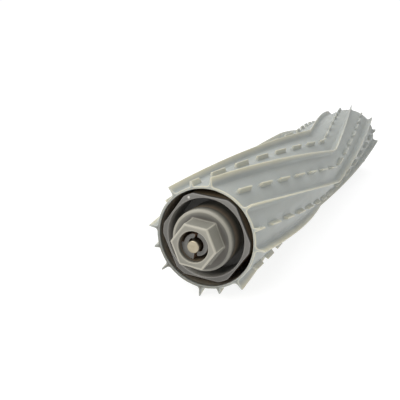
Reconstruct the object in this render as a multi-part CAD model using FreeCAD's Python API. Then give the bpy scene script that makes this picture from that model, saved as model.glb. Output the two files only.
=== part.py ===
import FreeCAD, Part
import math
import os

# Roller brush of a robot vacuum cleaner: a finned rubber sleeve on a keyed axle, with a bearing cap that
# pulls off for cleaning. Millimetres. X runs along the roller from the cap end to the drive end, and Z is up.
# The origin is on the axis, at the middle of the sleeve. Angles are degrees about X, from +Y towards +Z.

# Sleeve
SLEEVE_LENGTH = 178.0
TUBE_WALL = 0.85
FIN_COUNT = 8
FIN_HEIGHT = 2.35
FIN_ROOT = 0.6               # thickness just above the flare
FIN_TIP = 0.38
FIN_FLARE = 0.6              # slope where a fin leaves the tube
FIN_TWIST = 51.5             # turn of a fin from the rim to the middle
FIN_PHASE = 5.6              # first fin at the rim
TWIST_STEPS = 5              # straight steps in which a fin turns
NUB_STEPS = 7                # nub pitches from the first nub to the middle
NUB_START = 0.5              # centre of the first nub, from the rim
NUB_TURN = 1.2               # rows beside the middle between two fins
NUB_LENGTH = 7.4
NUB_HEIGHT = 1.4
NUB_BASE = 0.9
NUB_TOP = 0.4
HUB_WALL = 1.5
SPOKE_COUNT = 4
SPOKE_WALL = 1.0
SPOKE_DROP = 3.0             # centre of a spoke's bow, beside it

# Bearing cap
NOSE_FLATS = 10.0            # across the flats of the hexagon
NOSE_LENGTH = 5.0
NOSE_WALL = 1.3              # from the bore to a flat
NOSE_EDGE = 0.35
CAP_PHASE = 7.3              # a corner of the hexagon
CAP_WALL = 1.9
CAP_FACE_WALL = 3.3          # from the collar's face to the bush's seat
CAP_SKIRT = 2.3              # reach of the skirt behind the lip
COLLAR_PROUD = 2.2           # collar's face beyond the rim
COLLAR_EDGE = 0.9
LIP_CATCH = 0.25             # overlap that holds the bush in the cap
LIP_LENGTH = 0.8

# Bush that clips on the pin
BUSH_FLANGE_WIDTH = 1.85
BUSH_FLANGE_LENGTH = 2.0
TAIL_WALL = 1.6
DISC_DEPTH = 1.8             # below the nose's face
SLIT_WIDTH = 0.6
SLIT_START = 16.0
SLIT_END = 100.0             # end of the slit that turns in to the pin

# Steel pin
PIN_RADIUS = 1.5
PIN_GRIP = 18.0              # length held in the axle
PIN_CHAMFER = 0.3

# End bell around the cap
RING_WALL = 0.85             # between the well and a flat
FLAT_DEPTH = 0.8             # cut of each flat into the round
RING_PHASE = 6.1             # a corner between two flats
RING_EDGE = 0.25
BELL_FLOOR = 2.0
SOCKET_WALL = 1.5
SOCKET_LENGTH = 12.0
GATE_RADIUS = 0.35           # moulding gate left on the ring's face
GATE_HEIGHT = 0.12

# Axle
SHAFT_FLATS = 9.0
DRIVE_PLATE = 2.0
DRIVE_SKIRT = 10.0
DRIVE_HUB_LENGTH = 22.0
DRIVE_BOSS_WIDTH = 1.6       # shoulder around the peg
DRIVE_BOSS_HEIGHT = 1.0
PEG_FLATS = 8.0
PEG_REACH = 7.2              # beyond the rim
PEG_CHAMFER = 0.6

# Clearances
RUNNING_GAP = 0.05           # round faces that turn or slide on each other
END_PLAY = 0.1               # bush between its seat and the lip
THRUST_GAP = 0.1             # bush and floor of the well
BUSH_FLANGE_GAP = 0.2        # around the bush's flange
ARM_GAP = 0.35               # between the sprung arms and the pin, beyond the running gap
WELL_GAP = 2.05              # around the collar, where hair collects
CAP_FLOOR_GAP = 1.6          # behind the skirt
RING_GAP = 0.55              # between the end rings and the rubber

# Radii, from the pin outwards
PIN_BORE = PIN_RADIUS + RUNNING_GAP
ARM_BORE = PIN_BORE + ARM_GAP
TAIL_RADIUS = PIN_BORE + TAIL_WALL
NOSE_BORE = NOSE_FLATS / 2 - NOSE_WALL
SPIGOT_RADIUS = NOSE_BORE - RUNNING_GAP
ARM_RADIUS = SPIGOT_RADIUS - SLIT_WIDTH
BUSH_FLANGE_RADIUS = SPIGOT_RADIUS + BUSH_FLANGE_WIDTH
LIP_RADIUS = BUSH_FLANGE_RADIUS - LIP_CATCH
SEAT_RADIUS = BUSH_FLANGE_RADIUS + BUSH_FLANGE_GAP
COLLAR_RADIUS = SEAT_RADIUS + CAP_WALL
WELL_RADIUS = COLLAR_RADIUS + WELL_GAP
RING_FLATS = 2 * (WELL_RADIUS + RING_WALL)
RING_RADIUS = RING_FLATS / 2 + FLAT_DEPTH
TUBE_BORE = RING_RADIUS + RING_GAP
TUBE_RADIUS = TUBE_BORE + TUBE_WALL
FOOT_SINK = TUBE_WALL / 2
TIP_RADIUS = TUBE_RADIUS + FIN_HEIGHT
SHAFT_CORNER = SHAFT_FLATS / math.sqrt(3)
HUB_RADIUS = SHAFT_CORNER + HUB_WALL
SOCKET_RADIUS = SHAFT_CORNER + SOCKET_WALL
DRIVE_BOSS_RADIUS = PEG_FLATS / math.sqrt(3) + DRIVE_BOSS_WIDTH

# Places along X, from the cap end
RIM = -SLEEVE_LENGTH / 2
FAR_RIM = SLEEVE_LENGTH / 2
COLLAR_FACE = RIM - COLLAR_PROUD
NOSE_FACE = COLLAR_FACE - NOSE_LENGTH
DISC_FACE = NOSE_FACE + DISC_DEPTH
SEAT_FACE = COLLAR_FACE + CAP_FACE_WALL
BUSH_FLANGE_FRONT = SEAT_FACE + END_PLAY
BUSH_FLANGE_REAR = BUSH_FLANGE_FRONT + BUSH_FLANGE_LENGTH
LIP_FRONT = BUSH_FLANGE_REAR + END_PLAY
LIP_REAR = LIP_FRONT + LIP_LENGTH
CAP_REAR = LIP_REAR + CAP_SKIRT
WELL_FLOOR = CAP_REAR + CAP_FLOOR_GAP
BUSH_REAR = WELL_FLOOR - THRUST_GAP
BELL_BACK = WELL_FLOOR + BELL_FLOOR
SOCKET_END = BELL_BACK + SOCKET_LENGTH
DRIVE_HUB_END = FAR_RIM - DRIVE_HUB_LENGTH
PEG_END = FAR_RIM + PEG_REACH

SAME_PLACE = 1e-6
ORIGIN = FreeCAD.Vector(0, 0, 0)
AXIS = FreeCAD.Vector(1, 0, 0)


def at(x, radius, angle, across=0.0):
    """Point at a place along X, a radius and an angle, moved sideways around the roller."""
    turn = math.radians(angle)
    y = radius * math.cos(turn) - across * math.sin(turn)
    z = radius * math.sin(turn) + across * math.cos(turn)
    return FreeCAD.Vector(x, y, z)


def closed_wire(points):
    return Part.makePolygon(points + points[:1])


def turned(outline):
    """Solid of revolution about the axis, from an outline of (x, radius) points."""
    points = [FreeCAD.Vector(x, radius, 0) for x, radius in outline]
    return Part.Face(closed_wire(points)).revolve(ORIGIN, AXIS, 360)


def cylinder(start, end, radius):
    return Part.makeCylinder(radius, end - start, FreeCAD.Vector(start, 0, 0), AXIS)


def hexagon(start, end, flats, phase):
    corners = [at(start, flats / math.sqrt(3), phase + 60 * k) for k in range(6)]
    return Part.Face(closed_wire(corners)).extrude(AXIS * (end - start))


def edges_at(shape, x):
    """Edges that lie in the plane across the axis at x."""
    return [edge for edge in shape.Edges if all(abs(v.X - x) < SAME_PLACE for v in edge.Vertexes)]


def fin_angle(x):
    """Turn of the first fin at a place along the sleeve."""
    return FIN_PHASE + FIN_TWIST * (1 - abs(x) / (SLEEVE_LENGTH / 2))


def section(x, angle, outline):
    """Wire across the axis at an angle, from (radius, across) points."""
    return closed_wire([at(x, radius, angle, across) for radius, across in outline])


def strip(sections):
    """Solid of ruled faces between sections along the sleeve."""
    faces = [Part.Face(sections[0]), Part.Face(sections[-1])]
    for near, far in zip(sections, sections[1:]):
        faces += Part.makeRuledSurface(near, far).Faces
    shell = Part.makeShell(faces)
    shell.sewShape()
    return Part.makeSolid(shell)


def fin(k):
    """One chevron fin, which turns step by step to the middle and back. Its foot is in the tube's wall."""
    half_foot = FIN_ROOT / 2 + FIN_FLARE + FOOT_SINK
    outline = (
        (TUBE_RADIUS - FOOT_SINK, -half_foot), (TUBE_RADIUS + FIN_FLARE, -FIN_ROOT / 2),
        (TIP_RADIUS, -FIN_TIP / 2), (TIP_RADIUS, FIN_TIP / 2),
        (TUBE_RADIUS + FIN_FLARE, FIN_ROOT / 2), (TUBE_RADIUS - FOOT_SINK, half_foot))
    places = [RIM + SLEEVE_LENGTH * step / (2 * TWIST_STEPS) for step in range(2 * TWIST_STEPS + 1)]
    return strip([section(x, fin_angle(x) + k * 360 / FIN_COUNT, outline) for x in places])


def nub(row, centre):
    """One low nub on the cap half of the sleeve, cut off at the rim and at the middle."""
    outline = (
        (TUBE_RADIUS - FOOT_SINK, -NUB_BASE / 2), (TUBE_RADIUS + NUB_HEIGHT, -NUB_TOP / 2),
        (TUBE_RADIUS + NUB_HEIGHT, NUB_TOP / 2), (TUBE_RADIUS - FOOT_SINK, NUB_BASE / 2))
    places = (max(centre - NUB_LENGTH / 2, RIM), min(centre + NUB_LENGTH / 2, 0.0))
    turn = (row + 0.5) * 360 / FIN_COUNT + NUB_TURN
    return strip([section(x, fin_angle(x) + turn, outline) for x in places])


def nubs():
    """Nubs between the fins: rows take turns, with a nub at the rim or half a pitch in from it."""
    pitch = (SLEEVE_LENGTH / 2 - NUB_START) / NUB_STEPS
    made = []
    for row in range(FIN_COUNT):
        at_rim = row % 2 == 1
        offset = 0.0 if at_rim else 0.5
        count = NUB_STEPS + 1 if at_rim else NUB_STEPS
        for k in range(count):
            near = nub(row, RIM + NUB_START + (k + offset) * pitch)
            made += [near, near.mirror(ORIGIN, AXIS)]
    return made


def spokes():
    """Bowed spokes between the hub and the tube, which let the tube give."""
    middle = (HUB_RADIUS + TUBE_BORE) / 2
    bow = math.hypot((TUBE_BORE - HUB_RADIUS) / 2, SPOKE_DROP)
    length = DRIVE_HUB_END - SOCKET_END
    made = []
    for k in range(SPOKE_COUNT):
        angle = 360 / SPOKE_COUNT * k
        centre = at(SOCKET_END, middle, angle, -SPOKE_DROP)
        outer = Part.makeCylinder(bow + SPOKE_WALL / 2, length, centre, AXIS)
        inner = Part.makeCylinder(bow - SPOKE_WALL / 2, length, centre, AXIS)
        corner = FreeCAD.Vector(SOCKET_END, 0, -SPOKE_WALL)
        side = Part.makeBox(length, TUBE_RADIUS, TUBE_RADIUS, corner)
        side.rotate(ORIGIN, AXIS, angle)
        made.append(outer.cut(inner).common(side))
    return made


def rubber_sleeve():
    tube = cylinder(RIM, FAR_RIM, TUBE_RADIUS).cut(cylinder(RIM, FAR_RIM, TUBE_BORE))
    skin = tube.multiFuse([fin(k) for k in range(FIN_COUNT)] + nubs())
    hub = cylinder(SOCKET_END, DRIVE_HUB_END, HUB_RADIUS)
    reach = cylinder(SOCKET_END, DRIVE_HUB_END, TUBE_BORE + FOOT_SINK)
    web = hub.multiFuse(spokes()).common(reach)
    keyway = hexagon(SOCKET_END, DRIVE_HUB_END, SHAFT_FLATS, RING_PHASE)
    return skin.fuse(web.cut(keyway)).removeSplitter()


def flatted_ring(start, end):
    """Round disc with six flats, as both ends of the roller have."""
    return cylinder(start, end, RING_RADIUS).common(hexagon(start, end, RING_FLATS, RING_PHASE))


def end_bell():
    ring = flatted_ring(RIM, BELL_BACK)
    ring = ring.makeChamfer(RING_EDGE, edges_at(ring, RIM))
    ring = ring.cut(cylinder(RIM, WELL_FLOOR, WELL_RADIUS))
    socket = cylinder(BELL_BACK, SOCKET_END, SOCKET_RADIUS)
    gate = cylinder(RIM - GATE_HEIGHT, RIM + RING_EDGE, GATE_RADIUS)
    gate.translate(at(0, (WELL_RADIUS + RING_RADIUS) / 2, RING_PHASE + 60))
    bell = ring.multiFuse([socket, gate])
    bell = bell.cut(hexagon(BELL_BACK, SOCKET_END, SHAFT_FLATS, RING_PHASE))
    return bell.cut(cylinder(WELL_FLOOR, BELL_BACK, PIN_RADIUS))


def axle():
    shaft = hexagon(BELL_BACK, FAR_RIM - DRIVE_PLATE, SHAFT_FLATS, RING_PHASE)
    shaft = shaft.cut(cylinder(BELL_BACK, BELL_BACK + PIN_GRIP, PIN_RADIUS))
    flange = flatted_ring(FAR_RIM - DRIVE_SKIRT, FAR_RIM)
    flange = flange.makeChamfer(RING_EDGE, edges_at(flange, FAR_RIM))
    flange = flange.cut(cylinder(FAR_RIM - DRIVE_SKIRT, FAR_RIM - DRIVE_PLATE, WELL_RADIUS))
    hub = cylinder(DRIVE_HUB_END, FAR_RIM - DRIVE_PLATE, SOCKET_RADIUS)
    boss = cylinder(FAR_RIM, FAR_RIM + DRIVE_BOSS_HEIGHT, DRIVE_BOSS_RADIUS)
    peg = hexagon(FAR_RIM, PEG_END, PEG_FLATS, RING_PHASE)
    peg = peg.makeChamfer(PEG_CHAMFER, edges_at(peg, PEG_END))
    return shaft.multiFuse([flange, hub, boss, peg])


def pivot_pin():
    pin = cylinder(NOSE_FACE, BELL_BACK + PIN_GRIP, PIN_RADIUS)
    return pin.makeChamfer(PIN_CHAMFER, edges_at(pin, NOSE_FACE))


def hex_cap():
    nose = hexagon(NOSE_FACE, SEAT_FACE, NOSE_FLATS, CAP_PHASE)
    long_edges = [edge for edge in nose.Edges if edge.BoundBox.XLength > NOSE_LENGTH / 2]
    nose = nose.makeChamfer(NOSE_EDGE, edges_at(nose, NOSE_FACE) + long_edges)
    collar = cylinder(COLLAR_FACE, CAP_REAR, COLLAR_RADIUS)
    collar = collar.makeChamfer(COLLAR_EDGE, edges_at(collar, COLLAR_FACE))
    hollow = turned([
        (SEAT_FACE, 0), (SEAT_FACE, SEAT_RADIUS), (LIP_FRONT, SEAT_RADIUS), (LIP_FRONT, LIP_RADIUS),
        (LIP_REAR, LIP_RADIUS), (CAP_REAR, SEAT_RADIUS), (CAP_REAR, 0)])
    bore = cylinder(NOSE_FACE, SEAT_FACE, NOSE_BORE)
    mouth = turned([
        (NOSE_FACE, 0), (NOSE_FACE, NOSE_BORE + NOSE_EDGE), (NOSE_FACE + NOSE_EDGE, NOSE_BORE),
        (NOSE_FACE + NOSE_EDGE, 0)])
    return nose.fuse(collar).cut(hollow.multiFuse([bore, mouth]))


def slit(start):
    """One slit of the spigot: along its outside, then in to the pin. Two of them leave two sprung arms."""
    depth = BUSH_FLANGE_FRONT - DISC_FACE
    outline = (
        (DISC_FACE, ARM_RADIUS), (DISC_FACE, NOSE_BORE),
        (BUSH_FLANGE_FRONT, NOSE_BORE), (BUSH_FLANGE_FRONT, ARM_RADIUS))
    corners = [at(x, radius, start) for x, radius in outline]
    sweep = SLIT_END - SLIT_START
    arc = Part.Face(closed_wire(corners)).revolve(ORIGIN, AXIS, sweep)
    hook = Part.makeBox(depth, SPIGOT_RADIUS, SLIT_WIDTH, FreeCAD.Vector(DISC_FACE, 0, -SLIT_WIDTH))
    hook.rotate(ORIGIN, AXIS, start + sweep)
    return arc.fuse(hook)


def snap_bush():
    bush = turned([
        (DISC_FACE, ARM_BORE), (DISC_FACE, SPIGOT_RADIUS), (BUSH_FLANGE_FRONT, SPIGOT_RADIUS),
        (BUSH_FLANGE_FRONT, BUSH_FLANGE_RADIUS), (BUSH_FLANGE_REAR, BUSH_FLANGE_RADIUS),
        (BUSH_FLANGE_REAR, TAIL_RADIUS), (BUSH_REAR, TAIL_RADIUS), (BUSH_REAR, PIN_BORE),
        (BUSH_FLANGE_FRONT, PIN_BORE), (BUSH_FLANGE_FRONT, ARM_BORE)])
    return bush.cut(slit(SLIT_START).fuse(slit(SLIT_START + 180))).removeSplitter()


def main():
    os.makedirs("parts", exist_ok=True)
    for piece in (rubber_sleeve, end_bell, axle, pivot_pin, hex_cap, snap_bush):
        piece().exportStep("parts/" + piece.__name__ + ".step")


main()
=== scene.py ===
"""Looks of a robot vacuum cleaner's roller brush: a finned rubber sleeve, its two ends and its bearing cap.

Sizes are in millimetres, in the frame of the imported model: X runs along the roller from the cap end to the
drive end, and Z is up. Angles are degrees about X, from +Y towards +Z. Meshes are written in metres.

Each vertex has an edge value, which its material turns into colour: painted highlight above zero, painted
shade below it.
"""

import math

import bmesh
import bpy
from mathutils import Matrix, Vector


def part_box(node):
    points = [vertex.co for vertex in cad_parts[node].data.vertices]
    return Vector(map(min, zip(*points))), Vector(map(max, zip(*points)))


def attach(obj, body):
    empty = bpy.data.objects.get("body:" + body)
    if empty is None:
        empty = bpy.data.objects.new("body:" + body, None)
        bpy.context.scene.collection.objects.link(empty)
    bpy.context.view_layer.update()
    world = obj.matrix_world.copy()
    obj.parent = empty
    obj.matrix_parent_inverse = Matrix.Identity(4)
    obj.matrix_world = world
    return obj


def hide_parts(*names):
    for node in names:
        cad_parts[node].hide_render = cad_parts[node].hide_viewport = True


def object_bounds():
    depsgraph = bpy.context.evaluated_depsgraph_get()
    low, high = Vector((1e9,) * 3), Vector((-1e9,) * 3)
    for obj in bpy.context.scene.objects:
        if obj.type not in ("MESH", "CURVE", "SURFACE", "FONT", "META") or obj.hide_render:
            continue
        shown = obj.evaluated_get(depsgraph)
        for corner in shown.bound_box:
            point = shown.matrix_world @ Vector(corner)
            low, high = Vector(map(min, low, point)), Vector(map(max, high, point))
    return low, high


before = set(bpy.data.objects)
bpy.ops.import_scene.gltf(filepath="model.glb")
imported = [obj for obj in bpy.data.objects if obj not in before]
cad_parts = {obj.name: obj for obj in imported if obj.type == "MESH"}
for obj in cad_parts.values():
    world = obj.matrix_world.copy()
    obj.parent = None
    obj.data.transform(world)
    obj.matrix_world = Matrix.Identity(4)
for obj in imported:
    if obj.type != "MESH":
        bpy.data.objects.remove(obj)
cad_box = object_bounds()

MM = 0.001
JOIN_DISTANCE = 0.001        # vertices closer than this are one
SHARP_ANGLE = 40.0           # edges that turn by more stay sharp

# Edge values, from the palest painted highlight through plain colour and painted shade to the deep brown
# painted shade of hollows. A surface may also have a value between two of the first four
TIP = 1.0
PLAIN = 0.0
PAINTED_SHADE = -0.5
DEEP_SHADE = -1.0
ROUNDED = 0.3                # painted highlight on the rounded edges of the ring and of the drive end
SHADE_DEPTH = 1.5            # from an opening to where the inside has its full painted brown shade

# Loops around the axis, with points closest at a hexagon's corners and at the ends of the ring's flats
SIDES = 6
SIDE_TURN = 360 / SIDES
LOOP_MARKS = (0, 0.8, 1.6, 2.4, 3.3, 4.5, 6, 7.3, 7.9, 8.3, 8.7, 9.3, 10.5, 13, 16, 19.5, 23, 26.5)
FILLET_STEPS = 5

# Clearances
RUNNING_GAP = 0.05           # round faces that turn or slide on each other
END_PLAY = 0.1               # bush between its seat and the lip
BUSH_FLANGE_GAP = 0.2        # around the bush's flange

# Shaft
SHAFT_HALF = 4.5             # from the axis to a flat
SHAFT_CORNER = 0.2

# Sleeve
TUBE_BORE = 12.05
TUBE_RADIUS = 12.7
TUBE_MIDDLE = (TUBE_BORE + TUBE_RADIUS) / 2
TUBE_SHARES = (0.2, 0.36)    # points between a fin and a nub, as shares of the turn between fins
FIN_COUNT = 8
FIN_HEIGHT = 2.35
FIN_ROOT = 0.6
FIN_TIP = 0.38
FIN_TIP_TURNS = (0, 45)      # points on the round tip
FIN_HOLLOW = 0.8             # radius of the hollow where a fin leaves the tube
FIN_HOLLOW_STEPS = 4
FIN_TWIST = 51.5             # turn of a fin from the rim to the middle
FIN_PHASE = 5.6              # angle of the first fin at the rim
FIN_FLANK = 0.65             # painted highlight halfway up a fin
FIN_FOOT = -0.055            # painted shade in the hollow
APEX_SOFTNESS = 0.8          # length over which a fin turns back at the middle
APEX_SHARES = (2, 1, 0.5)    # loops beside the middle, as shares of that length
FAR_TIP = -0.05              # painted highlight of a tip at the drive end, before the painted shade there is added
FAR_DULL = -0.11             # painted shade that the drive end has all over
NUB_STEPS = 7                # nub pitches from the rim to the middle
NUB_START = 0.5              # centre of the first nub, from the rim
NUB_TURN = 1.2               # rows beside the middle between two fins
NUB_LENGTH = 7.4
NUB_HEIGHT = 1.4
NUB_BASE = 0.9
NUB_TOP = 0.4
NUB_RAMP = 0.4               # length of a nub's steep end
NUB_RAMP_SHARES = (1, 0.67, 0.33, 0)
NUB_HOLLOW = 0.25
NUB_ROUND = 0.12
NUB_FOOT = 0.42              # painted highlight where a nub's side starts
NUB_SHOULDER = 0.68          # painted highlight where its side ends
RIM_EDGE = 0.15
RIM_MIDDLE = 0.3             # share of a rim's rounding at its middle
RIM_FACE_SHADE = -0.29            # painted shade on the face of a rim
RIM_FACE_SHADE_SWING = 0.21       # how much it differs around the rim
RIM_PALE = 0.3               # painted highlight on a rim's two edges
RIM_PALE_SWING = 0.55
RIM_BEST_LIT = 130.0            # angle at which the rim's painted light is brightest
RIM_SHADED = -0.165          # edge value just inside a rim
HUB_RADIUS = 6.696
SPOKE_COUNT = 4
SPOKE_WALL = 1.0
SPOKE_DROP = 3.0             # centre of a spoke's bow, beside it
SPOKE_STEPS = 12

# Nose of the bearing cap
NOSE_HALF = 5.0              # from the axis to a flat
NOSE_LENGTH = 5.0
NOSE_WALL = 1.3
NOSE_BORE = NOSE_HALF - NOSE_WALL
NOSE_EDGE = 0.3
NOSE_CORNER = 0.3
NOSE_ROOT = 0.2
NOSE_FACE_LIGHT = -0.02           # edge value of the nose's face: painted light on one side, painted shade across from it
NOSE_FACE_LIGHT_SWING = 0.12      # how much it differs around the nose
NOSE_BEST_LIT = 140.0           # angle at which the painted light on it is brightest
NOSE_PALE = 0.6              # painted highlight around the nose's face
CORNER_MARK = 3.0            # half of the turn that a corner's painted highlight takes
MOUTH_EDGE = 0.3
MOUTH_PALE = 0.5             # painted highlight on the bore's round edge

# Bush and pin
PIN_RADIUS = 1.5
PIN_BORE = PIN_RADIUS + RUNNING_GAP
PIN_EDGE = 0.3
SPIGOT_RADIUS = NOSE_BORE - RUNNING_GAP
BUSH_FLANGE_WIDTH = 1.85
BUSH_FLANGE_RADIUS = SPIGOT_RADIUS + BUSH_FLANGE_WIDTH
BUSH_FLANGE_LENGTH = 2.0
BUSH_EDGE = 0.06
BUSH_EDGE_STEPS = 2
TAIL_RADIUS = 3.146
SLIT_WIDTH = 0.6
SLIT_START = 7.0             # angle at which a slit starts
SLIT_END = 100.0             # angle at which it turns in to the pin
ROOT_STEPS = 18
ARM_RADIUS = SPIGOT_RADIUS - SLIT_WIDTH
ARM_LEAN = 0.32              # how far an arm's free end leans in
ARM_END_RADIUS = ARM_RADIUS - ARM_LEAN
ARM_STEPS = 14
ARM_BORE = 1.9
ARM_BORE_STEPS = 20
ARM_ROUND = 0.5              # rounding of an arm's free end
ARM_ROUND_STEPS = 6
HOOK_BORE = 1.6              # inside of an arm's free end
HOOK_TURN = 6.0              # turn that the free end takes
HOOK_STEP = 14.0             # turn over which it widens to the rest of the arm
HOOK_STEPS = 6

# Collar of the bearing cap
CAP_PHASE = 7.3              # angle of one corner of the nose
CAP_FACE_WALL = 3.3          # from the collar's face to the bush's seat
CAP_WALL = 1.9
SEAT_RADIUS = BUSH_FLANGE_RADIUS + BUSH_FLANGE_GAP
COLLAR_RADIUS = SEAT_RADIUS + CAP_WALL
COLLAR_EDGE = 0.6
COLLAR_EDGE_STEPS = 8
COLLAR_REAR_EDGE = 0.3
COLLAR_ROOT = -0.6           # painted shadow around the root of the nose
COLLAR_FACE_SHADE = -0.35         # painted shade on the collar's face around the nose
COLLAR_FACE_SHADE_SWING = 0.22    # how much it differs around the nose
COLLAR_PALE = 0.12           # painted highlight on the collar's round edge
COLLAR_PALE_SWING = 0.25
COLLAR_BEST_LIT = 60.0          # angle at which the collar's painted light is brightest
COLLAR_DARK = 3.2            # from the collar's face to where its side has its full painted shade
LIP_CATCH = 0.25             # overlap that holds the bush in the cap
LIP_RADIUS = BUSH_FLANGE_RADIUS - LIP_CATCH
LIP_LENGTH = 0.8
SKIRT_LENGTH = 2.3           # behind the lip

# Ring, well and socket of the cap end
RING_RADIUS = 11.2
RING_PHASE = 6.1             # angle of one corner between two flats
RING_EDGE = 0.2
RING_RECESS = 0.2            # from the rim back to the ring's face
RING_FACE_SHADE = -0.16           # edge value of the ring's face: painted shade
RING_FACE_SHADE_SWING = 0.2       # how much it differs around the ring
RING_BEST_LIT = 110.0           # angle at which its painted shade is lightest
FLAT_DEPTH = 0.9             # cut of each flat into the round
FLAT_BLEND = 0.12            # softness of the corners between flats and round
WELL_RADIUS = 9.75
WELL_EDGE = 0.3
WELL_ROUNDED = 0.4           # painted highlight on the well's round edge
WELL_PALE = 0.9              # painted light just inside the well
WELL_LIP = 3.2               # depth at which the well's painted light gives way to its plain colour
WELL_FILLET = 0.4
BELL_FLOOR = 2.0
SOCKET_RADIUS = 6.696
SOCKET_EDGE = 0.3
GATE_RADIUS = 0.35           # moulding gate left on the ring's face
GATE_HEIGHT = 0.12
GATE_TURNS = (0, 20, 40, 60, 80)
GATE_SIDES = 20

# Drive end
DRIVE_PLATE = 2.0
DRIVE_SKIRT = 10.0
DRIVE_HUB_LENGTH = 22.0
DRIVE_BOSS_RADIUS = 6.22
DRIVE_BOSS_HEIGHT = 1.0
DRIVE_EDGE = 0.25
PEG_HALF = 4.0               # from the axis to a flat
PEG_CORNER = 0.35
PEG_EDGE = 0.6

# Places along X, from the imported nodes
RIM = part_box("rubber_sleeve")[0].x / MM
FAR_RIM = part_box("rubber_sleeve")[1].x / MM
NUB_PITCH = (FAR_RIM - NUB_START) / NUB_STEPS
NOSE_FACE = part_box("hex_cap")[0].x / MM
CAP_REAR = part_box("hex_cap")[1].x / MM
COLLAR_FACE = NOSE_FACE + NOSE_LENGTH
SEAT_FACE = COLLAR_FACE + CAP_FACE_WALL
LIP_REAR = CAP_REAR - SKIRT_LENGTH
LIP_FRONT = LIP_REAR - LIP_LENGTH
DISC_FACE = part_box("snap_bush")[0].x / MM
BUSH_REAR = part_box("snap_bush")[1].x / MM
BUSH_FLANGE_FRONT = SEAT_FACE + END_PLAY
BUSH_FLANGE_REAR = BUSH_FLANGE_FRONT + BUSH_FLANGE_LENGTH
PIN_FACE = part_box("pivot_pin")[0].x / MM
PIN_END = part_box("pivot_pin")[1].x / MM
BELL_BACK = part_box("axle")[0].x / MM
PEG_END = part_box("axle")[1].x / MM
SOCKET_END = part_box("end_bell")[1].x / MM
WELL_FLOOR = BELL_BACK - BELL_FLOOR
DRIVE_HUB_END = FAR_RIM - DRIVE_HUB_LENGTH
RING_FACE = RIM + RING_RECESS

# Materials
PLASTIC_PATCH = 90.0         # noise scale of the clouds in the plastics
RUBBER_PATCH = 60.0
FLOW_GLOSS = 0.06            # how much smoother the moulding's flow lines are in places
FLOW_MATT = 0.08             # how much rougher they are in others

# Floor, in metres
FLOOR_HEIGHT = cad_box[0].z
FLOOR_REACH = 4.0
FLOOR_GLOW = 0.8             # light that comes up through the floor

# Light
WHITE = (1, 1, 1, 1)
WALL_LEVEL = 1.04            # white wall behind the roller
WALL_FULL = 0.92             # cosine of the angle from the gaze where it is fully white
WALL_END = 0.78              # cosine of the angle where it ends
ROOM_LEVEL = 0.6
KEY_TOWARDS = (-0.85, 0.35, 0.54)
KEY_SPREAD = 35
KEY_STRENGTH = 1.15
KEY_COLOUR = (1.0, 0.96, 0.9)
TOP_TOWARDS = (0.0, 0.2, 1.0)
TOP_SPREAD = 90
TOP_STRENGTH = 1.4
TOP_COLOUR = (0.95, 0.98, 1.0)

# Camera of the photograph, from the fit of the roller
EYE = (-222.14, -55.72, 46.04)
GAZE = (0.891, 0.3815, -0.2461)
FOCAL_LENGTH = 57.35
SENSOR_WIDTH = 36.0
NEAREST_VIEW = 10.0

# Directions of an outline, as (along X, away from the axis)
FORTH = (1, 0)
BACK = (-1, 0)
OUT = (0, 1)
IN = (0, -1)


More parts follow.
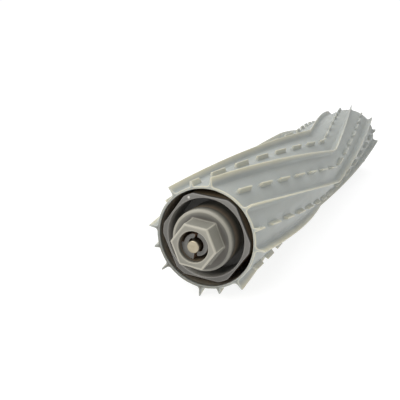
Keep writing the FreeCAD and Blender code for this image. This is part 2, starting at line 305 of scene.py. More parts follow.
class Skin:
    """Vertices in millimetres, faces and one edge value per vertex, gathered for one mesh."""

    def __init__(self):
        self.points = []
        self.faces = []
        self.edge = []

    def turn(self, outline, phase, closed):
        """Skin around the axis, from (x, size, shape, edge) places. The edge value may follow the angle."""
        angles = loop_angles(phase)
        loops = []
        values = []
        for x, size, shape, edge in outline:
            loops.append([polar(x, shape(size, angle), angle) for angle in angles])
            values.append([edge(angle) if callable(edge) else edge for angle in angles])
        self.loft(loops, values, closed)

    def loft(self, loops, values, closed):
        """Skin over loops of equal length. It closes on itself, or a fan closes each end."""
        start = len(self.points)
        count = len(loops[0])
        for loop, value in zip(loops, values):
            self.points += loop
            self.edge += value
        spans = len(loops) if closed else len(loops) - 1
        for i in range(spans):
            here = start + i * count
            there = start + (i + 1) % len(loops) * count
            for k in range(count):
                following = (k + 1) % count
                self.faces.append((here + k, here + following, there + following, there + k))
        if not closed:
            self.fan(start, count)
            self.fan(start + (len(loops) - 1) * count, count)

    def fan(self, start, count):
        """Close a loop with triangles around its centre."""
        loop = self.points[start:start + count]
        self.points.append(tuple(sum(p[axis] for p in loop) / count for axis in range(3)))
        self.edge.append(self.edge[start])
        centre = len(self.points) - 1
        for k in range(count):
            self.faces.append((start + k, start + (k + 1) % count, centre))

    def strip(self, left, right, start, end):
        """Bar between two lines of (y, z) points, drawn out along X."""
        base = len(self.points)
        count = len(left)
        for x in (start, end):
            for line in (left, right):
                self.points += [(x, y, z) for y, z in line]
                self.edge += [PLAIN] * count
        near_left, near_right, far_left, far_right = (base + count * k for k in range(4))
        for k in range(count - 1):
            self.faces.append((near_left + k, near_left + k + 1, near_right + k + 1, near_right + k))
            self.faces.append((far_left + k, far_left + k + 1, far_right + k + 1, far_right + k))
            self.faces.append((near_left + k, near_left + k + 1, far_left + k + 1, far_left + k))
            self.faces.append((near_right + k, near_right + k + 1, far_right + k + 1, far_right + k))
        for k in (0, count - 1):
            self.faces.append((near_left + k, near_right + k, far_right + k, far_left + k))

    def add_mesh(self, mesh, edge):
        """Take in a mesh in millimetres, with its loose edges joined. The edge value follows x."""
        shape = bmesh.new()
        shape.from_mesh(mesh)
        bmesh.ops.remove_doubles(shape, verts=shape.verts, dist=JOIN_DISTANCE)
        shape.to_mesh(mesh)
        shape.free()
        base = len(self.points)
        self.points += [tuple(v.co) for v in mesh.vertices]
        self.edge += [edge(v.co.x) for v in mesh.vertices]
        self.faces += [tuple(base + k for k in face.vertices) for face in mesh.polygons]

    def build(self, name):
        """Object with the mesh, smooth but for its sharp edges."""
        mesh = bpy.data.meshes.new(name)
        mesh.from_pydata([Vector(p) * MM for p in self.points], [], self.faces)
        shape = bmesh.new()
        shape.from_mesh(mesh)
        bmesh.ops.recalc_face_normals(shape, faces=shape.faces)
        shape.to_mesh(mesh)
        shape.free()
        mesh.shade_smooth()
        mesh.set_sharp_from_angle(angle=math.radians(SHARP_ANGLE))
        values = mesh.attributes.new("edge", "FLOAT", "POINT")
        values.data.foreach_set("value", self.edge)
        piece = bpy.data.objects.new(name, mesh)
        bpy.context.scene.collection.objects.link(piece)
        normals = piece.modifiers.new("even normals", "WEIGHTED_NORMAL")
        normals.keep_sharp = True
        return piece


def polar(x, radius, angle):
    """Point at a radius and an angle about the axis."""
    turn = math.radians(angle)
    return (x, radius * math.cos(turn), radius * math.sin(turn))


def from_flat(angle, phase):
    """Turn from the middle of the nearest side of a hexagon, with a corner at the phase."""
    return (angle - phase) % SIDE_TURN - SIDE_TURN / 2


def round_shape(size, angle):
    """Radius of a circle, the same at every angle."""
    return size


def hexagon_shape(phase, corner):
    """Radius of a hexagon with round corners, from its half width across the flats."""
    slope = math.radians(SIDE_TURN / 2)

    def radius(size, angle):
        aside = abs(math.radians(from_flat(angle, phase)))
        from_corner = slope - aside
        centre = (size - corner) / math.cos(slope)
        tangent = math.atan2(corner * math.sin(slope), centre + corner * math.cos(slope))
        if from_corner >= tangent:
            return size / math.cos(aside)
        rest = math.sqrt(corner ** 2 - (centre * math.sin(from_corner)) ** 2)
        return centre * math.cos(from_corner) + rest

    return radius


def ring_shape(size, angle):
    """Radius of a round with six flats, blended softly where they meet."""
    flat = (size - FLAT_DEPTH) / math.cos(math.radians(from_flat(angle, RING_PHASE)))
    overlap = max(FLAT_BLEND - abs(flat - size), 0.0)
    return min(flat, size) - overlap ** 2 / (4 * FLAT_BLEND)


def loop_angles(phase):
    """Angles of a loop, the same on each side of every corner."""
    side = [-mark for mark in reversed(LOOP_MARKS[1:])] + list(LOOP_MARKS) + [SIDE_TURN / 2]
    return [phase + SIDE_TURN * k + mark for k in range(SIDES) for mark in side]


def plain(shape, *places):
    """Places of an outline in the plain colour, from (x, size) pairs."""
    return [(x, size, shape, PLAIN) for x, size in places]


def fillet(x, size, arrive, leave, radius, shape, edge=PLAIN, steps=FILLET_STEPS):
    """Rounded corner of an outline, from one direction to the other. Its middle carries the edge value."""
    made = []
    for step in range(steps + 1):
        turn = math.radians(90 * step / steps)
        before = radius * (1 - math.sin(turn))
        after = radius * (1 - math.cos(turn))
        made.append((
            x - arrive[0] * before + leave[0] * after,
            size - arrive[1] * before + leave[1] * after, shape, edge * math.sin(2 * turn)))
    return made


def marked(places, edge):
    """Places of an outline, all with the same edge value."""
    return [(x, size, shape, edge) for x, size, shape, _ in places]


def light_by_angle(level, swing, cleanest):
    """Edge value of painted light and shade that is highest at one angle and lowest across from it."""
    return lambda angle: level + swing * math.cos(math.radians(angle - cleanest))


def corner_mark(phase):
    """Painted highlight along the corners of a hexagon."""
    return lambda angle: max(PLAIN, 1 - (SIDE_TURN / 2 - abs(from_flat(angle, phase))) / CORNER_MARK)


def fin_angle(x):
    """Turn of the first fin at a place along the sleeve."""
    here, middle, rim = (math.hypot(place, APEX_SOFTNESS) for place in (x, 0.0, FAR_RIM))
    return FIN_PHASE + FIN_TWIST * (rim - here) / (rim - middle)


def fin_profile():
    """One fin from foot to foot: (across, height, edge)."""
    side = []
    for step in range(FIN_HOLLOW_STEPS + 1):
        turn = math.radians(90 * step / FIN_HOLLOW_STEPS)
        across = FIN_ROOT / 2 + FIN_HOLLOW * (1 - math.sin(turn))
        side.append((across, FIN_HOLLOW * (1 - math.cos(turn)), FIN_FOOT * math.sin(2 * turn)))
    side.append(((FIN_ROOT + FIN_TIP) / 4, (FIN_HOLLOW + FIN_HEIGHT) / 2, FIN_FLANK))
    reach = FIN_TIP / 2
    for angle in FIN_TIP_TURNS:
        turn = math.radians(angle)
        side.append((reach * math.cos(turn), FIN_HEIGHT - reach * (1 - math.sin(turn)), TIP))
    return [(-across, h, edge) for across, h, edge in side] + [(0.0, FIN_HEIGHT, TIP)] + side[::-1]


def nub_profile():
    """One nub from foot to foot: (across, height, edge)."""
    side = [
        (NUB_BASE / 2 + NUB_HOLLOW, 0.0, PLAIN),
        (NUB_BASE / 2 + NUB_HOLLOW / 4, NUB_HOLLOW / 4, PLAIN),
        (NUB_BASE / 2, NUB_HOLLOW, NUB_FOOT),
        (NUB_TOP / 2 + NUB_ROUND / 3, NUB_HEIGHT - NUB_ROUND, NUB_SHOULDER),
        (NUB_TOP / 2 - NUB_ROUND / 3, NUB_HEIGHT - NUB_ROUND / 4, TIP),
        (NUB_TOP / 2 - NUB_ROUND, NUB_HEIGHT, TIP)]
    return [(-across, h, edge) for across, h, edge in side] + side[::-1]


def nub_rise(row, x):
    """Share of a nub's height at a place along the sleeve. Rows take turns, half a pitch apart."""
    half = NUB_PITCH / 2
    offset = NUB_START if row % 2 == 1 else NUB_START + half
    from_rim = FAR_RIM - abs(x)
    from_centre = abs((from_rim - offset + half) % NUB_PITCH - half)
    inside = min(max((NUB_LENGTH / 2 - from_centre) / NUB_RAMP, 0.0), 1.0)
    return inside * inside * (3 - 2 * inside)


def sleeve_places():
    """Places along the sleeve, closer together at the ends of the nubs and at the middle."""
    half = NUB_PITCH / 2
    end = NUB_LENGTH / 2
    ramp = [-NUB_RAMP * share for share in NUB_RAMP_SHARES]
    ends = [end + step for step in ramp] + [half - end - step for step in ramp]
    within = [0.0, end / 2] + ends + [half] + [NUB_PITCH - place for place in ends] + [NUB_PITCH - end / 2]
    near = [RIM] + [RIM + NUB_START + NUB_PITCH * k + place for k in range(NUB_STEPS) for place in within]
    near += [-APEX_SOFTNESS * share for share in APEX_SHARES]
    near = sorted(near)
    return near + [0.0] + [-place for place in reversed(near)]


def sleeve_loop(x):
    """Outside of the sleeve at one place: angles, radii and edge values."""
    sector = 360 / FIN_COUNT
    # The painted highlight fades towards the drive end, where painted shade is added
    cream = 1 + (FAR_TIP - 1) * (x - RIM) / (FAR_RIM - RIM)
    far_shade = FAR_DULL * max(x / FAR_RIM, 0.0)
    angles = []
    radii = []
    edges = []

    def mark(angle, height, edge):
        angles.append(fin_angle(x) + angle)
        radii.append(TUBE_RADIUS + height)
        edges.append(edge * cream + far_shade)

    for row in range(FIN_COUNT):
        for across, height, edge in fin_profile():
            mark(sector * row + math.degrees(across / (TUBE_RADIUS + height)), height, edge)
        for share in TUBE_SHARES:
            mark(sector * (row + share), 0.0, PLAIN)
        rise = nub_rise(row, x)
        for across, height, edge in nub_profile():
            turn = math.degrees(across / (TUBE_RADIUS + height))
            mark(sector * (row + 0.5) + NUB_TURN + turn, height * rise, edge * rise)
        for share in reversed(TUBE_SHARES):
            mark(sector * (row + 1 - share), 0.0, PLAIN)
    return angles, radii, edges


def inset(loop, distance):
    """Loop across the axis, moved inwards by a distance."""
    moved = []
    for k, (x, y, z) in enumerate(loop):
        before = loop[k - 1]
        after = loop[(k + 1) % len(loop)]
        along = Vector((after[1] - before[1], after[2] - before[2])).normalized()
        moved.append((x, y - along.y * distance, z + along.x * distance))
    return moved


def rim_loops(x, inward):
    """Outside loops of one rim, from the full outline to the rounded edge."""
    angles, radii, _ = sleeve_loop(x)
    middle_step = RIM_EDGE * RIM_MIDDLE
    full = [polar(x + inward * RIM_EDGE, radius, angle) for angle, radius in zip(angles, radii)]
    middle = [(x + inward * middle_step, y, z) for _, y, z in inset(full, middle_step)]
    face = [(x, y, z) for _, y, z in inset(full, RIM_EDGE)]
    return [full, middle, face]


def spoke_lines(angle):
    """Two sides of a bowed spoke, as (y, z) points that end inside the hub and the tube."""
    middle = (HUB_RADIUS + TUBE_BORE) / 2
    bow = math.hypot((TUBE_BORE - HUB_RADIUS) / 2, SPOKE_DROP)
    turn = Matrix.Rotation(math.radians(angle), 2)
    lines = []
    for radius in (bow + SPOKE_WALL / 2, bow - SPOKE_WALL / 2):
        start = math.asin((SPOKE_DROP - SPOKE_WALL) / radius)
        line = []
        for step in range(SPOKE_STEPS + 1):
            bend = start + (math.pi - 2 * start) * step / SPOKE_STEPS
            place = Vector((middle + radius * math.cos(bend), radius * math.sin(bend) - SPOKE_DROP))
            place *= min(1.0, TUBE_MIDDLE / place.length)
            line.append(tuple(turn @ place))
        lines.append(line)
    return lines


def rubber_sleeve():
    """Tube with chevron fins and nubs, and the hub and spokes inside it."""
    outside = []
    outside_values = []
    for x in sleeve_places()[1:-1]:
        angles, radii, edges = sleeve_loop(x)
        outside.append([polar(x, radius, angle) for angle, radius in zip(angles, radii)])
        outside_values.append(edges)

    # Painted shade on the rims' faces, darkest at the bottom left, painted highlight on their edges and
    # painted brown shade inside the bore
    angles = sleeve_loop(RIM)[0]
    face_shade = light_by_angle(RIM_FACE_SHADE, RIM_FACE_SHADE_SWING, RIM_BEST_LIT)
    edge_highlight = light_by_angle(RIM_PALE, RIM_PALE_SWING, RIM_BEST_LIT)
    dull = [face_shade(angle) for angle in angles]
    pale = [edge_highlight(angle) for angle in angles]
    shaded = [RIM_SHADED] * len(angles)
    brown = [DEEP_SHADE] * len(angles)
    inside = [
        (FAR_RIM, TUBE_MIDDLE, dull), (FAR_RIM, TUBE_BORE + RIM_EDGE, pale),
        (FAR_RIM - RIM_EDGE, TUBE_BORE, shaded), (FAR_RIM - SHADE_DEPTH, TUBE_BORE, brown),
        (RIM + SHADE_DEPTH, TUBE_BORE, brown), (RIM + RIM_EDGE, TUBE_BORE, shaded),
        (RIM, TUBE_BORE + RIM_EDGE, pale), (RIM, TUBE_MIDDLE, dull)]

    near = rim_loops(RIM, 1)
    far = rim_loops(FAR_RIM, -1)
    loops = near[::-1] + outside + far
    loops += [[polar(x, radius, angle) for angle in angles] for x, radius, _ in inside]
    values = [pale] * len(near) + outside_values + [pale] * len(far)
    values += [edges for _, _, edges in inside]
    skin = Skin()
    skin.loft(loops, values, True)

    keyway = hexagon_shape(RING_PHASE, SHAFT_CORNER)
    skin.turn(
        plain(keyway, (SOCKET_END, SHAFT_HALF))
        + plain(round_shape, (SOCKET_END, HUB_RADIUS), (DRIVE_HUB_END, HUB_RADIUS))
        + plain(keyway, (DRIVE_HUB_END, SHAFT_HALF)), RING_PHASE, True)
    for k in range(SPOKE_COUNT):
        near_side, far_side = spoke_lines(360 / SPOKE_COUNT * k)
        skin.strip(near_side, far_side, SOCKET_END, DRIVE_HUB_END)
    return skin.build("sleeve")


def gate_loops():
    """Moulding gate on the ring's face: loops from its foot inside the ring to its top."""
    _, y, z = polar(0, (WELL_RADIUS + RING_RADIUS) / 2, RING_PHASE + SIDE_TURN)
    places = [(RING_FACE + RING_EDGE, GATE_RADIUS)]
    for angle in GATE_TURNS:
        turn = math.radians(angle)
        places.append((RING_FACE - GATE_HEIGHT * math.sin(turn), GATE_RADIUS * math.cos(turn)))
    loops = []
    for x, radius in places:
        around = [polar(x, radius, 360 / GATE_SIDES * k) for k in range(GATE_SIDES)]
        loops.append([(px, y + py, z + pz) for px, py, pz in around])
    return loops


def end_ring():
    """Bell at the cap end: the ring with six flats, the well and the socket behind it."""
    keyway = hexagon_shape(RING_PHASE, SHAFT_CORNER)
    # Painted light just inside the well, painted shade on the ring's face and painted brown shade on its
    # hidden side
    face_shade = light_by_angle(RING_FACE_SHADE, RING_FACE_SHADE_SWING, RING_BEST_LIT)
    side = plain(ring_shape, (RING_FACE + SHADE_DEPTH, RING_RADIUS), (BELL_BACK - SHADE_DEPTH, RING_RADIUS))
    skin = Skin()
    skin.turn(
        plain(round_shape, (RING_FACE + WELL_LIP, WELL_RADIUS))
        + [(RING_FACE + WELL_EDGE, WELL_RADIUS, round_shape, WELL_PALE)]
        + fillet(RING_FACE, WELL_RADIUS, BACK, OUT, WELL_EDGE, round_shape, WELL_ROUNDED)[1:-1]
        + [(RING_FACE, WELL_RADIUS + WELL_EDGE, round_shape, face_shade)]
        + [(RING_FACE, RING_RADIUS - RING_EDGE, ring_shape, face_shade)]
        + fillet(RING_FACE, RING_RADIUS, OUT, FORTH, RING_EDGE, ring_shape, ROUNDED)[1:]
        + marked(side, DEEP_SHADE)
        + fillet(BELL_BACK, RING_RADIUS, FORTH, IN, RING_EDGE, ring_shape)
        + plain(round_shape, (BELL_BACK, SOCKET_RADIUS))
        + fillet(SOCKET_END, SOCKET_RADIUS, FORTH, IN, SOCKET_EDGE, round_shape)
        + plain(keyway, (SOCKET_END, SHAFT_HALF), (BELL_BACK, SHAFT_HALF))
        + plain(round_shape, (BELL_BACK, PIN_RADIUS), (WELL_FLOOR, PIN_RADIUS))
        + fillet(WELL_FLOOR, WELL_RADIUS, OUT, BACK, WELL_FILLET, round_shape), RING_PHASE, True)
    gate = gate_loops()
    # The gate carries a painted highlight all over
    skin.loft(gate, [[TIP] * GATE_SIDES] * len(gate), False)
    return skin.build("end_ring")


def drive_end():
    """Keyed shaft with the flange, the boss and the drive peg of the far end."""
    shaft = hexagon_shape(RING_PHASE, SHAFT_CORNER)
    peg = hexagon_shape(RING_PHASE, PEG_CORNER)
    boss_face = FAR_RIM + DRIVE_BOSS_HEIGHT
    skirt_end = FAR_RIM - DRIVE_SKIRT
    plate_back = FAR_RIM - DRIVE_PLATE
    side = plain(ring_shape, (FAR_RIM - SHADE_DEPTH, RING_RADIUS), (skirt_end + SHADE_DEPTH, RING_RADIUS))
    skin = Skin()
    # Painted highlight on the rounded edges and painted brown shade on the hidden side of the ring
    skin.turn(
        fillet(PEG_END, PEG_HALF, OUT, BACK, PEG_EDGE, peg, ROUNDED)
        + fillet(boss_face, PEG_HALF, BACK, OUT, DRIVE_EDGE, peg)
        + fillet(boss_face, DRIVE_BOSS_RADIUS, OUT, BACK, DRIVE_EDGE, round_shape, ROUNDED)
        + fillet(FAR_RIM, DRIVE_BOSS_RADIUS, BACK, OUT, DRIVE_EDGE, round_shape)
        + fillet(FAR_RIM, RING_RADIUS, OUT, BACK, RING_EDGE, ring_shape, ROUNDED)
        + marked(side, DEEP_SHADE)
        + fillet(skirt_end, RING_RADIUS, BACK, IN, RING_EDGE, ring_shape)
        + plain(round_shape, (skirt_end, WELL_RADIUS), (plate_back, WELL_RADIUS))
        + plain(round_shape, (plate_back, SOCKET_RADIUS))
        + fillet(DRIVE_HUB_END, SOCKET_RADIUS, BACK, IN, SOCKET_EDGE, round_shape)
        + plain(shaft, (DRIVE_HUB_END, SHAFT_HALF))
        + fillet(BELL_BACK, SHAFT_HALF, BACK, IN, SOCKET_EDGE, shaft)
        + plain(round_shape, (BELL_BACK, PIN_RADIUS), (PIN_END, PIN_RADIUS)), RING_PHASE, False)
    return skin.build("drive_end")


def bearing_cap():
    """Hexagonal nose on a round collar, hollow for the bush."""
    nose = hexagon_shape(CAP_PHASE, NOSE_CORNER)
    # Painted brown shade in the bore, painted highlights on the nose's edges and corners, painted shadow at
    # its root and painted shade on the collar
    nose_face_light = light_by_angle(NOSE_FACE_LIGHT, NOSE_FACE_LIGHT_SWING, NOSE_BEST_LIT)
    face_shade = light_by_angle(COLLAR_FACE_SHADE, COLLAR_FACE_SHADE_SWING, COLLAR_BEST_LIT)
    edge_highlight = light_by_angle(COLLAR_PALE, COLLAR_PALE_SWING, COLLAR_BEST_LIT)
    nose_rim = fillet(NOSE_FACE, NOSE_HALF, OUT, FORTH, NOSE_EDGE, nose)
    nose_side = plain(nose, (NOSE_FACE + 2 * NOSE_EDGE, NOSE_HALF), (COLLAR_FACE - NOSE_ROOT, NOSE_HALF))
    collar_rim = fillet(
        COLLAR_FACE, COLLAR_RADIUS, OUT, FORTH, COLLAR_EDGE, round_shape, steps=COLLAR_EDGE_STEPS)
    skin = Skin()
    skin.turn(
        [(NOSE_FACE + SHADE_DEPTH, NOSE_BORE, round_shape, DEEP_SHADE)]
        + fillet(NOSE_FACE, NOSE_BORE, BACK, OUT, MOUTH_EDGE, round_shape, MOUTH_PALE)
        + [(NOSE_FACE, NOSE_HALF - 2 * NOSE_EDGE, nose, nose_face_light)]
        + marked(nose_rim, NOSE_PALE)
        + marked(nose_side, corner_mark(CAP_PHASE))
        + fillet(COLLAR_FACE, NOSE_HALF, FORTH, OUT, NOSE_ROOT, nose)[1:]
        + [(COLLAR_FACE, NOSE_HALF + 2 * NOSE_ROOT, nose, COLLAR_ROOT)]
        + [(COLLAR_FACE, COLLAR_RADIUS - COLLAR_EDGE - NOSE_ROOT, round_shape, face_shade)]
        + marked(collar_rim, edge_highlight)
        + [(COLLAR_FACE + COLLAR_DARK, COLLAR_RADIUS, round_shape, DEEP_SHADE)]
        + fillet(CAP_REAR, COLLAR_RADIUS, FORTH, IN, COLLAR_REAR_EDGE, round_shape)
        + plain(round_shape, (CAP_REAR, SEAT_RADIUS), (LIP_REAR, LIP_RADIUS), (LIP_FRONT, LIP_RADIUS))
        + plain(round_shape, (LIP_FRONT, SEAT_RADIUS), (SEAT_FACE, SEAT_RADIUS))
        + [(SEAT_FACE, NOSE_BORE, round_shape, DEEP_SHADE)], CAP_PHASE, True)
    return skin.build("bearing_cap")


def arc(radius, first, last, steps, lean=0.0):
    """Points (y, z) along an arc between two angles, which may lean in towards its end."""
    shares = [k / steps for k in range(steps + 1)]
    return [Vector(polar(0, radius - lean * s, first + (last - first) * s)[1:]) for s in shares]


def soft_corner(first, corner, last):
    """Points between two places, rounding the corner between them."""
    shares = [k / ARM_ROUND_STEPS for k in range(1, ARM_ROUND_STEPS)]
    return [first * (1 - s) ** 2 + corner * 2 * s * (1 - s) + last * s ** 2 for s in shares]


def arm_outline(start):
    """Half of the bush's disc as (y, z) points: a solid root and a sprung arm with a round end."""
    slit_end = start + SLIT_END
    root = slit_end - 180
    along = Vector(polar(0, 1, slit_end)[1:])
    aside = Vector((along.y, -along.x)) * SLIT_WIDTH
    corner_outer = along * math.sqrt(ARM_END_RADIUS ** 2 - SLIT_WIDTH ** 2) + aside
    corner_inner = along * math.sqrt(HOOK_BORE ** 2 - SLIT_WIDTH ** 2) + aside
    middle = (corner_outer + corner_inner) / 2
    tip_outer = slit_end - math.degrees(math.asin(SLIT_WIDTH / ARM_END_RADIUS) + ARM_ROUND / ARM_END_RADIUS)
    tip_inner = slit_end - math.degrees(math.asin(SLIT_WIDTH / HOOK_BORE) + ARM_ROUND / 2 / HOOK_BORE)
    hook_end = tip_inner - HOOK_TURN

    points = arc(SPIGOT_RADIUS, root, start + SLIT_START, ROOT_STEPS)
    points += arc(ARM_RADIUS, start + SLIT_START, tip_outer, ARM_STEPS, ARM_LEAN)
    inside = arc(HOOK_BORE, tip_inner, hook_end, HOOK_STEPS)
    inside += arc(ARM_BORE, hook_end - HOOK_STEP, root, ARM_BORE_STEPS)
    points += soft_corner(points[-1], corner_outer, middle)
    points += soft_corner(middle, corner_inner, inside[0])
    return points + inside


def bush_disc():
    """Mesh of the disc in the nose, cut into two halves by the slits."""
    outline = bpy.data.curves.new("bush_disc", "CURVE")
    outline.dimensions = "2D"
    outline.fill_mode = "BOTH"
    depth = BUSH_FLANGE_FRONT + END_PLAY - DISC_FACE
    outline.extrude = depth / 2 - BUSH_EDGE
    outline.bevel_depth = BUSH_EDGE
    outline.bevel_resolution = BUSH_EDGE_STEPS
    outline.offset = -BUSH_EDGE
    for start in (0, 180):
        points = arm_outline(start)
        line = outline.splines.new("POLY")
        line.points.add(len(points) - 1)
        line.use_cyclic_u = True
        for place, (y, z) in zip(line.points, points):
            place.co = (y, z, 0, 1)
    carrier = bpy.data.objects.new("bush_disc", outline)
    disc = bpy.data.meshes.new_from_object(carrier)
    turn = Matrix(((0, 0, 1, DISC_FACE + depth / 2), (1, 0, 0, 0), (0, 1, 0, 0), (0, 0, 0, 1)))
    disc.transform(turn)
    bpy.data.objects.remove(carrier)
    bpy.data.curves.remove(outline)
    return disc


def snap_bush():
    """Disc in the nose with its two sprung arms, and the flange and the tail behind it."""
    disc = bush_disc()
    skin = Skin()
    # Behind the disc's face all takes the painted brown shade that shows in the slits
    skin.add_mesh(disc, lambda x: PLAIN if x < DISC_FACE + BUSH_EDGE / 2 else DEEP_SHADE)
    bpy.data.meshes.remove(disc)
    skin.turn(plain(
        round_shape, (BUSH_FLANGE_FRONT, PIN_BORE), (BUSH_FLANGE_FRONT, BUSH_FLANGE_RADIUS),
        (BUSH_FLANGE_REAR, BUSH_FLANGE_RADIUS), (BUSH_FLANGE_REAR, TAIL_RADIUS),
        (BUSH_REAR, TAIL_RADIUS), (BUSH_REAR, PIN_BORE)), CAP_PHASE, True)
    return skin.build("snap_disc")


def pivot_pin():
    """Steel pin, bright on its cut end, with painted brown shade along its side."""
    skin = Skin()
    cut_end = marked(fillet(PIN_FACE, PIN_RADIUS, OUT, FORTH, PIN_EDGE, round_shape), TIP)
    side = plain(round_shape, (PIN_FACE + 2 * PIN_EDGE, PIN_RADIUS), (PIN_END, PIN_RADIUS))
    skin.turn(cut_end + side, CAP_PHASE, False)
    return skin.build("steel_pin")


class Shader:
    """Node tree of one material, with the surface shader at its end."""

    def __init__(self, name):
        self.material = bpy.data.materials.new(name)
        self.material.use_nodes = True
        self.tree = self.material.node_tree
        self.surface = self.tree.nodes["Principled BSDF"]
        self.place = self.add("ShaderNodeTexCoord").outputs["Object"]

    def add(self, kind, **settings):
        """New node with its settings."""
        node = self.tree.nodes.new(kind)
        for key, value in settings.items():
            setattr(node, key, value)
        return node

    def link(self, source, target):
        """Lead one socket to another."""
        self.tree.links.new(source, target)

    def drive(self, socket, source):
        """Lead a socket to the surface shader."""
        self.link(source, self.surface.inputs[socket])

    def fix(self, socket, value):
        """Give the surface shader one value all over."""
        self.surface.inputs[socket].default_value = value

    def edge_value(self):
        """Edge value of the mesh."""
        return self.add("ShaderNodeAttribute", attribute_name="edge").outputs["Fac"]

    def grain(self, scale, detail, stretch=(1, 1, 1)):
        """Noise over the part's own coordinates, stretched along them."""
        mapping = self.add("ShaderNodeMapping")
        mapping.inputs["Scale"].default_value = stretch
        self.link(self.place, mapping.inputs["Vector"])
        texture = self.add("ShaderNodeTexNoise")
        texture.inputs["Scale"].default_value = scale
        texture.inputs["Detail"].default_value = detail
        self.link(mapping.outputs["Vector"], texture.inputs["Vector"])
        return texture.outputs["Fac"]

    def spread(self, value, low, high, start=0.3, end=0.7):
        """Value remapped to a range of numbers. Most of a noise lies between the usual start and end."""
        node = self.add("ShaderNodeMapRange")
        node.inputs["From Min"].default_value = start
        node.inputs["From Max"].default_value = end
        node.inputs["To Min"].default_value = low
        node.inputs["To Max"].default_value = high
        self.link(value, node.inputs["Value"])
        return node.outputs["Result"]

    def mix(self, share, first, second):
        """Colour between two others, each a colour or a socket."""
        node = self.add("ShaderNodeMix", data_type="RGBA")
        colours = [s for s in node.inputs if s.type == "RGBA"]
        for value, socket in zip((first, second), colours):
            if isinstance(value, tuple):
                socket.default_value = (*value, 1)
            else:
                self.link(value, socket)
        self.link(share, node.inputs["Factor"])
        return [s for s in node.outputs if s.type == "RGBA"][0]

    def bump(self, height, depth, strength, before=None):
        """Normal of a bumpy surface, on top of another one if there is one before it."""
        node = self.add("ShaderNodeBump")
        node.inputs["Strength"].default_value = strength
        node.inputs["Distance"].default_value = depth * MM
        self.link(height, node.inputs["Height"])
        if before:
            self.link(before, node.inputs["Normal"])
        return node.outputs["Normal"]


def moulded(name, light, dark, tip, dull, inside, roughness, patch=PLASTIC_PATCH):
    """Moulded plastic or rubber: cloudy colour, fine grain and flow lines, and painted highlight and shade
    by edge value.
    """
    shader = Shader(name)
    clouds = shader.grain(scale=patch, detail=4.0)
    speckle = shader.grain(scale=2600.0, detail=2.0)
    flow = shader.grain(scale=700.0, detail=3.0, stretch=(0.05, 1, 1))
    speckle_share = shader.spread(speckle, low=0.0, high=0.3, start=0.55, end=0.75)
    colour = shader.mix(shader.spread(clouds, 0.0, 1.0), dark, light)
    colour = shader.mix(speckle_share, colour, dark)
    edge = shader.edge_value()
    # Painted highlight towards the tip colour, painted shade towards the dull and inside colours
    colour = shader.mix(edge, colour, tip)
    colour = shader.mix(shader.spread(edge, 1.0, 0.0, PAINTED_SHADE, PLAIN), colour, dull)
    colour = shader.mix(shader.spread(edge, 1.0, 0.0, DEEP_SHADE, PAINTED_SHADE), colour, inside)
    shader.drive("Base Color", colour)
    shader.drive("Roughness", shader.spread(flow, low=roughness - FLOW_GLOSS, high=roughness + FLOW_MATT))
    normal = shader.bump(speckle, depth=0.02, strength=0.25)
    shader.drive("Normal", shader.bump(flow, depth=0.03, strength=0.3, before=normal))
    return shader


def grey_rubber():
    """Grey rubber that lets a little light through, with a painted cream highlight at the tips of its fins
    and painted shade in its hollows.
    """
    shader = moulded(
        "grey_rubber", light=(0.375, 0.395, 0.372), dark=(0.335, 0.352, 0.335), tip=(0.55, 0.53, 0.415),
        dull=(0.115, 0.111, 0.095), inside=(0.27, 0.24, 0.195), roughness=0.5, patch=RUBBER_PATCH)
    shader.fix("Subsurface Weight", 0.4)
    shader.fix("Subsurface Radius", (1.0, 0.85, 0.65))
    shader.fix("Subsurface Scale", 1.2 * MM)
    return shader.material


def ring_plastic():
    """Dark grey plastic of the roller's two ends, with painted highlight on its edges and painted shade."""
    return moulded(
        "ring_plastic", light=(0.17, 0.165, 0.153), dark=(0.143, 0.138, 0.127), tip=(0.5, 0.49, 0.46),
        dull=(0.075, 0.072, 0.066), inside=(0.24, 0.185, 0.12), roughness=0.45).material


def cap_plastic():
    """Warm grey plastic of the bearing cap, with painted highlight on its edges and painted shade."""
    return moulded(
        "cap_plastic", light=(0.252, 0.244, 0.21), dark=(0.226, 0.218, 0.184), tip=(0.5, 0.475, 0.395),
        dull=(0.088, 0.085, 0.076), inside=(0.19, 0.15, 0.105), roughness=0.42).material


def bush_plastic():
    """Grey plastic of the bush, with painted brown shade in its slits."""
    return moulded(
        "bush_plastic", light=(0.195, 0.192, 0.181), dark=(0.158, 0.155, 0.146), tip=(0.28, 0.28, 0.27),
        dull=(0.14, 0.135, 0.125), inside=(0.3, 0.19, 0.12), roughness=0.42).material


def turned_steel():
    """Steel with fine turning lines and a few duller patches, with painted brown shade along its side."""
    pale = (0.46, 0.41, 0.31)
    dull = (0.37, 0.325, 0.235)
    # Painted shade along the pin's side
    brown = (0.13, 0.11, 0.085)
    shader = Shader("turned_steel")
    lines = shader.grain(scale=5200.0, detail=2.0, stretch=(1, 0.15, 0.15))
    patches = shader.grain(scale=900.0, detail=3.0)
    colour = shader.mix(shader.spread(patches, 0.0, 1.0), dull, pale)
    shader.drive("Base Color", shader.mix(shader.edge_value(), brown, colour))
    shader.drive("Roughness", shader.spread(patches, low=0.34, high=0.5))
    shader.drive("Normal", shader.bump(lines, depth=0.01, strength=0.3))
    shader.fix("Metallic", 1.0)
    return shader.material


def floor_paper():
    """Pale paper, lit from below."""
    pale = (0.3, 0.3, 0.3)
    dull = (0.28, 0.28, 0.28)
    shader = Shader("floor_paper")
    shader.drive("Base Color", shader.mix(shader.grain(scale=3.0, detail=3.0), dull, pale))
    shader.fix("Roughness", 0.8)
    shader.fix("Specular IOR Level", 0.1)
    shader.fix("Emission Color", WHITE)
    shader.fix("Emission Strength", FLOOR_GLOW)
    return shader.material


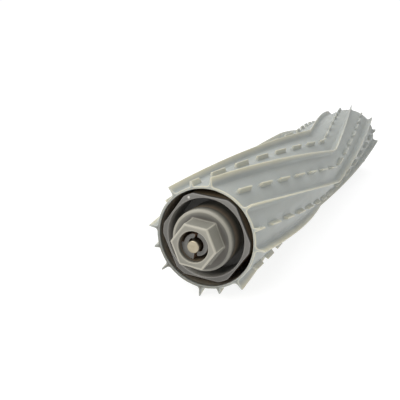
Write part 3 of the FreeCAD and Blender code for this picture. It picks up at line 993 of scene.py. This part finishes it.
def studio_floor():
    """Plain pale light table under the roller, so that its shadow stays faint."""
    corners = [(x * FLOOR_REACH, y * FLOOR_REACH, 0) for x, y in ((-1, -1), (1, -1), (1, 1), (-1, 1))]
    mesh = bpy.data.meshes.new("floor")
    mesh.from_pydata(corners, [], [(0, 1, 2, 3)])
    mesh.materials.append(floor_paper())
    floor = bpy.data.objects.new("floor", mesh)
    floor.location.z = FLOOR_HEIGHT
    bpy.context.scene.collection.objects.link(floor)


def soft_sun(name, towards, spread, strength, colour):
    """Broad light from far away, from the direction of a point."""
    light = bpy.data.lights.new(name, "SUN")
    light.angle = math.radians(spread)
    light.energy = strength
    light.color = colour
    lamp = bpy.data.objects.new(name, light)
    lamp.location = towards
    lamp.rotation_euler = Vector(towards).to_track_quat("Z", "Y").to_euler()
    bpy.context.scene.collection.objects.link(lamp)


def studio_light():
    """Dim room with a white wall behind the roller, a lamp near the cap end and soft light from above."""
    world = bpy.data.worlds.new("studio")
    bpy.context.scene.world = world
    world.use_nodes = True
    tree = world.node_tree
    direction = tree.nodes.new("ShaderNodeTexCoord").outputs["Generated"]
    behind = tree.nodes.new("ShaderNodeVectorMath")
    behind.operation = "DOT_PRODUCT"
    behind.inputs[1].default_value = Vector((GAZE[0], GAZE[1], 0)).normalized()
    tree.links.new(direction, behind.inputs[0])
    level = tree.nodes.new("ShaderNodeMapRange")
    level.inputs["From Min"].default_value = WALL_END
    level.inputs["From Max"].default_value = WALL_FULL
    level.inputs["To Min"].default_value = ROOM_LEVEL
    level.inputs["To Max"].default_value = WALL_LEVEL
    tree.links.new(behind.outputs["Value"], level.inputs["Value"])
    tree.links.new(level.outputs["Result"], tree.nodes["Background"].inputs["Strength"])
    tree.nodes["Background"].inputs["Color"].default_value = WHITE
    soft_sun("key", KEY_TOWARDS, KEY_SPREAD, KEY_STRENGTH, KEY_COLOUR)
    soft_sun("top", TOP_TOWARDS, TOP_SPREAD, TOP_STRENGTH, TOP_COLOUR)


def camera():
    """Camera where the photograph was taken from."""
    forward = Vector(GAZE).normalized()
    right = forward.cross(Vector((0, 0, 1))).normalized()
    up = right.cross(forward)
    view = bpy.data.cameras.new("camera")
    view.sensor_width = SENSOR_WIDTH
    view.lens = FOCAL_LENGTH
    view.clip_start = NEAREST_VIEW * MM
    view.dof.use_dof = False
    eye = bpy.data.objects.new("camera", view)
    turn = Matrix((right, up, -forward)).transposed().to_4x4()
    eye.matrix_world = Matrix.Translation(Vector(EYE) * MM) @ turn
    bpy.context.scene.collection.objects.link(eye)
    bpy.context.scene.camera = eye


rubber = grey_rubber()
end_plastic = ring_plastic()
dressed = (
    (rubber_sleeve, "rubber_sleeve", "roller", "rubber_grey", rubber),
    (end_ring, "end_bell", "roller", "end_plastic", end_plastic),
    (drive_end, "axle", "roller", "end_plastic", end_plastic),
    (pivot_pin, "pivot_pin", "roller", "steel", turned_steel()),
    (bearing_cap, "hex_cap", "bearing_cap", "cap_plastic", cap_plastic()),
    (snap_bush, "snap_bush", "bush", "bush_plastic", bush_plastic()))
for make, node, body, slot, material in dressed:
    piece = make()
    piece.data.materials.append(material)
    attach(piece, body)
    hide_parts(node)

studio_floor()
studio_light()
camera()
bpy.context.scene.view_settings.view_transform = "Standard"
